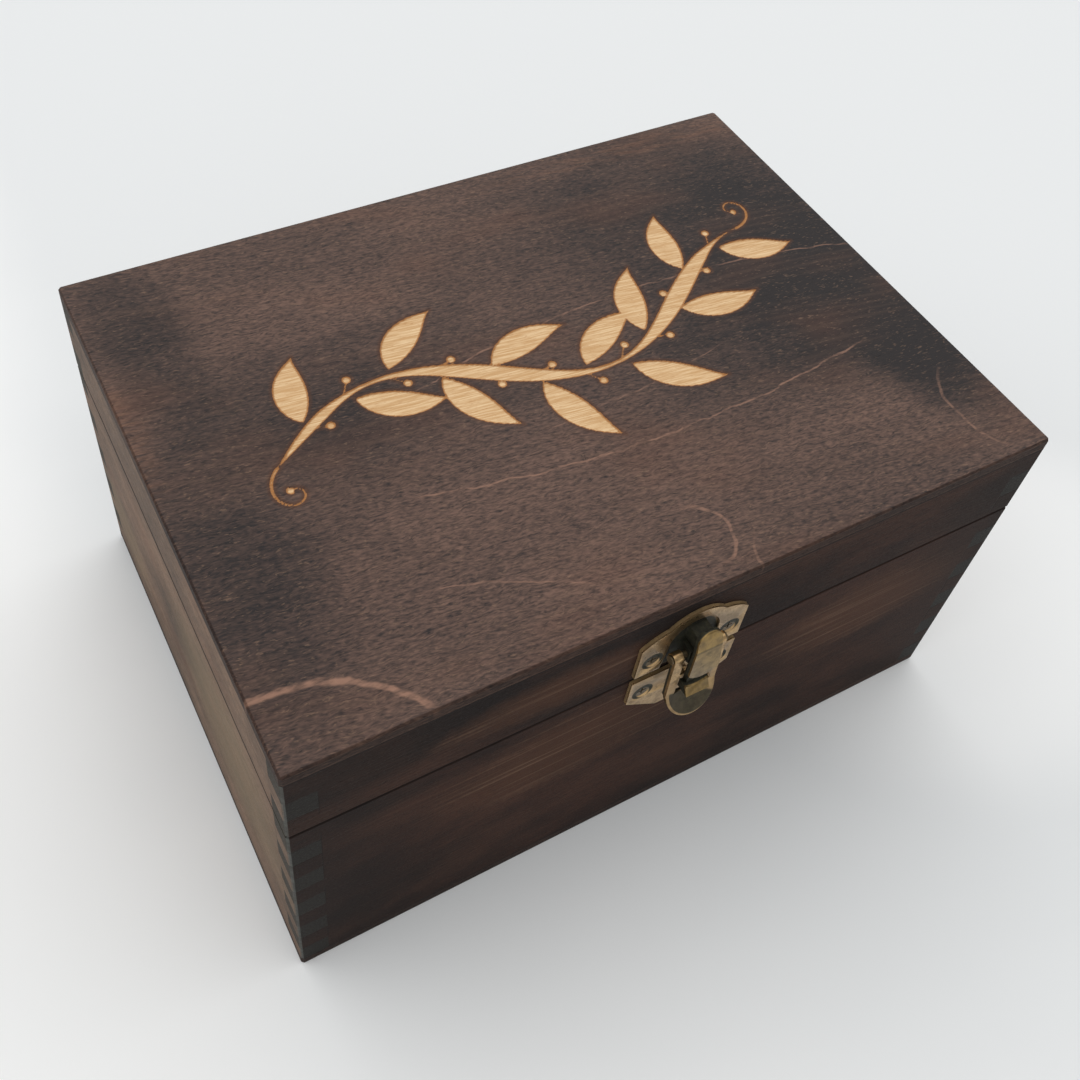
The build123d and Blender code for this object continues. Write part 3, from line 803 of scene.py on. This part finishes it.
def brassFinish(name, bright, dull, darkPlaces):
    # the patina stays in hollows and on what lies back, and is rubbed off what stands proud; its dark also
    # paints the shade in the hollows, on the sides turned from the light and under the bill
    brass = Finish(name)
    place = brass.millimetres()
    x, y, z = brass.axes(place)
    proud = abs(y) - box["halfDepth"]
    wear = brass.noise(place, brassNoise["wear"]).step(*agedBrass["wear"])
    blotch = brass.noise(place, brassNoise["blotch"])
    openness = brass.node("AmbientOcclusion", {"samples": 8}, {"Distance": agedBrass["cavity"]}, 1)
    colour = brass.mix(wear, dull, bright)
    patinaAndShade = brass.mix(blotch.step(*agedBrass["greenBlotches"]), agedBrass["deep"], agedBrass["green"])
    # darker where the surroundings close in: patina, and painted shade in the hollows
    hidden = (openness + (blotch - 0.5) * 0.3).step(*agedBrass["hidden"])
    dark = darkPlaces(x - agedBrass["latchMiddle"], z - box["baseTop"] - agedBrass["gapHalf"], proud)
    # a thin tarnish in spots
    spots = brass.noise(place, brassNoise["spots"]).step(*agedBrass["spots"]) * agedBrass["spotStrength"]
    cover = dark.larger(hidden).larger(spots)
    # painted highlight: the plates' thin edges are less metallic, so they show pale along the rims
    thinEdge = proud.step(*agedBrass["thinEdge"])
    brass.surface(
        Base_Color=brass.mix(cover, colour, patinaAndShade),
        Metallic=cover * -0.45 + agedBrass["metallic"] - thinEdge,
        Roughness=cover * 0.3 - wear * 0.1 + agedBrass["roughness"],
        Normal=brass.bump(brass.noise(place, brassNoise["dents"]), *agedBrass["bump"]),
    )
    return brass.material


def crescents(u, rise):
    # painted shadow on the upper left of each screw's hole
    shown = u * 0.0
    right, up = latchShape["crescentMiddle"]
    for across, height in agedBrass["screwPlaces"]:
        du = u - across
        dv = rise - height
        inHole = fromMiddle(du, dv).step(*latchShape["holeEdge"], 1.0, 0.0)
        shown = shown.larger(inHole * fromMiddle(du - right, dv - up).step(*latchShape["crescentEdge"]))
    return shown


def darkOnPlates(u, rise, proud):
    # the arch behind the bill, dark with patina and with the painted shadow of the bill, and a painted
    # shadow crescent round each screw
    aboveSpring = (rise - latchShape["archSpring"]).larger(0.0).power(2.0)
    arch = u * u * latchShape["archWidth"] + aboveSpring * latchShape["archHeight"]
    arch = arch.step(0.8, 1.0, 1.0, 0.0)
    dark = arch * rise.step(2.6, 2.8) * proud.step(0.7, 1.1, 1.0, 0.0)
    return dark.larger(crescents(u, rise))


def darkOnBill(u, rise, proud):
    # all but the front of the strip and of the jaw, dark with patina and with painted shade on the sides
    # that face away from the light
    crown = latchShape["creaseReach"] - (rise - latchShape["creaseRise"]) * latchShape["crownSlope"]
    tip = latchShape["creaseReach"] - (rise - latchShape["creaseRise"]) * latchShape["tipSlope"]
    strip = crown.smaller(tip)
    jaw = latchShape["jawReach"] - (rise - latchShape["jawRise"]) * latchShape["jawSlope"]
    jaw = jaw.larger(latchShape["jawReach"])
    isStrip = rise.step(latchShape["webTop"] - 0.01, latchShape["webTop"] + 0.01)
    front = strip * isStrip + jaw * (1.0 - isStrip)
    dark = (front - proud).step(0.3, 0.7)
    # darker along a faint crease across the strip: painted shade where the strip bends
    crease = abs(rise - latchShape["creaseLine"]).step(0.15, 0.7, 0.55, 0.0)
    # painted highlight: bright at the edges, dull in the middle
    middle = (abs(u) + rise * 0.08).step(3.0, 4.6, 0.14, 0.0) * rise.step(3.5, 5.5)
    return dark.larger(crease).larger(middle).larger((1.0 - isStrip) * 0.2)


def darkOnHasp(u, rise, proud):
    # the sides and the back of the bars, dark with patina and painted shade, the dish, and a dull tone
    # towards the lip
    bar = latchShape["barReach"] - (rise - latchShape["pinRise"]) * latchShape["barSlope"]
    bend = latchShape["bendReach"] - (rise - latchShape["bendRise"]) * latchShape["bendSlope"]
    front = bar.larger(bend)
    behind = (front - proud).step(0.5, 1.1) * rise.step(8.0, 9.0, 1.0, 0.0)
    middle, level = latchShape["dishMiddle"]
    dish = fromMiddle(u - middle, rise - level).step(*latchShape["dishEdge"], 0.92, 0.0)
    dish = dish * (rise + u * 0.35).step(-7.6, -6.6, 1.0, 0.0)
    return behind.larger(dish).larger(rise.step(-9.0, 3.0, 0.3, 0.0))


def darkOnScrews(u, rise, proud):
    return proud.step(0.3, 0.6, 0.85, 0.35).larger(crescents(u, rise))


def darkOnHinges(u, rise, proud):
    return proud.step(0.3, 0.8, 0.8, 0.0)


def darkOnPin(u, rise, proud):
    return proud.step(4.0, 5.0, 0.75, 0.55)


bright, dull = agedBrass["bright"], agedBrass["dull"]
plateBrass = brassFinish("plateBrass", bright, dull, darkOnPlates)
hookBrass = brassFinish("hookBrass", agedBrass["gold"], agedBrass["oldGold"], darkOnBill)
haspBrass = brassFinish("haspBrass", bright, dull, darkOnHasp)
hingeBrass = brassFinish("hingeBrass", bright, dull, darkOnHinges)
pinBrass = brassFinish("pinBrass", dull, dull, darkOnPin)
screwBrass = brassFinish("screwBrass", agedBrass["steel"], agedBrass["oldGold"], darkOnScrews)


def softened(name, body, width, material):
    # copy of a metal piece with its edges softened, which stands for it
    piece = addPiece(name + "_soft", mergedCopy(name), body, material, [name])
    soften = piece.modifiers.new("softEdges", "BEVEL")
    soften.width = width * mm
    soften.segments = 2
    soften.limit_method = "ANGLE"
    soften.angle_limit = math.radians(38)
    soften.use_clamp_overlap = True
    soften.harden_normals = True
    piece.data.shade_smooth()
    piece.data.set_sharp_from_angle(angle=math.radians(60))
    return piece


lidPlate = softened("latch_lid_plate", "lid", 0.28, plateBrass)
softened("latch_base_plate", "base", 0.25, plateBrass)
softened("latch_hasp", "hasp", 0.3, haspBrass)
# what stands out from the lid plate has its own finish
lidPlate.data.materials.append(hookBrass)
for face in lidPlate.data.polygons:
    if min(lidPlate.data.vertices[index].co.y for index in face.vertices) / mm < -box["halfDepth"] - 1.5:
        face.material_index = 1
for name, obj in nodes.items():
    if "screws" in name:
        dress(obj, screwBrass)
    elif name.startswith("hinge"):
        dress(obj, hingeBrass)
dress(nodes["latch_pin"], pinBrass)
print("brass finished")

# Floor, light and camera
room = {
    "floorSize": 12.0,
    "floorColour": (0.955, 0.958, 0.948),
    "floorShade": (0.808, 0.82, 0.82),
    "floorFolds": ((5.0, 9.0, 5.0), 3.0, 0.5, 3.0),
    "shadeSlant": 0.8,
    "shadeEdge": (-0.26, 0.0),
    "shadeWaver": 0.15,
    "paleLeft": (-0.15, -0.09),
    "paleLeftWaver": 0.05,
    "paintedLightRight": ((0.15, -0.07), (0.09, 0.07)),
    "paintedLightRightEdge": (0.2, 1.3),
    "paintedLightRightShade": 0.25,
    "worldColour": (0.97, 0.985, 1.0, 1.0),
    "worldStrength": 0.47,
    "sunFrom": (0.02, 0.75, 1.0),
    "sunStrength": 2.12,
    "sunAngle": 140.0,
}
shape = bmesh.new()
bmesh.ops.create_grid(shape, x_segments=1, y_segments=1, size=room["floorSize"] / 2)
floorMesh = bpy.data.meshes.new("floor")
shape.to_mesh(floorMesh)
shape.free()
floor = bpy.data.objects.new("floor", floorMesh)
bpy.context.scene.collection.objects.link(floor)
floorFinish = Finish("paleFloor")
folds = floorFinish.noise(floorFinish.coordinates, room["floorFolds"]) - 0.5
across, depth, height = floorFinish.axes(floorFinish.coordinates)
shade = (depth * room["shadeSlant"] + across + folds * room["shadeWaver"]).step(*room["shadeEdge"])
# painted light: the floor is paler to the left of the box and in a patch to its right, where the box's
# shade would fall
shade = shade * (across + folds * room["paleLeftWaver"]).step(*room["paleLeft"])
awayFromPaintedLight = ellipse(across, depth, *room["paintedLightRight"]) + folds
shade = shade * awayFromPaintedLight.step(*room["paintedLightRightEdge"], room["paintedLightRightShade"], 1.0)
floorColour = floorFinish.mix(shade, room["floorColour"], room["floorShade"])
floorFinish.surface(Base_Color=floorColour, Roughness=0.9)
dress(floor, floorFinish.material)

world = bpy.data.worlds.new("studio")
world.use_nodes = True
background = world.node_tree.nodes["Background"]
background.inputs["Color"].default_value = room["worldColour"]
background.inputs["Strength"].default_value = room["worldStrength"]
bpy.context.scene.world = world

sunLight = bpy.data.lights.new("softSun", "SUN")
sunLight.energy = room["sunStrength"]
sunLight.angle = math.radians(room["sunAngle"])
sun = bpy.data.objects.new("softSun", sunLight)
sun.rotation_euler = (-Vector(room["sunFrom"])).to_track_quat("-Z", "Y").to_euler()
bpy.context.scene.collection.objects.link(sun)

view = {
    "place": (-0.13996, -0.19036, 0.35316),
    "turn": (40.547, -4.989, -28.743),
    "lens": 41.316,
    "shift": (0.0252, -0.0916),
}
cameraData = bpy.data.cameras.new("camera")
cameraData.lens = view["lens"]
cameraData.sensor_width = 36.0
cameraData.shift_x, cameraData.shift_y = view["shift"]
cameraData.clip_start = 0.01
camera = bpy.data.objects.new("camera", cameraData)
camera.location = view["place"]
camera.rotation_euler = [math.radians(angle) for angle in view["turn"]]
bpy.context.scene.collection.objects.link(camera)
bpy.context.scene.camera = camera
bpy.context.scene.view_settings.view_transform = "Standard"
print("room and camera ready")
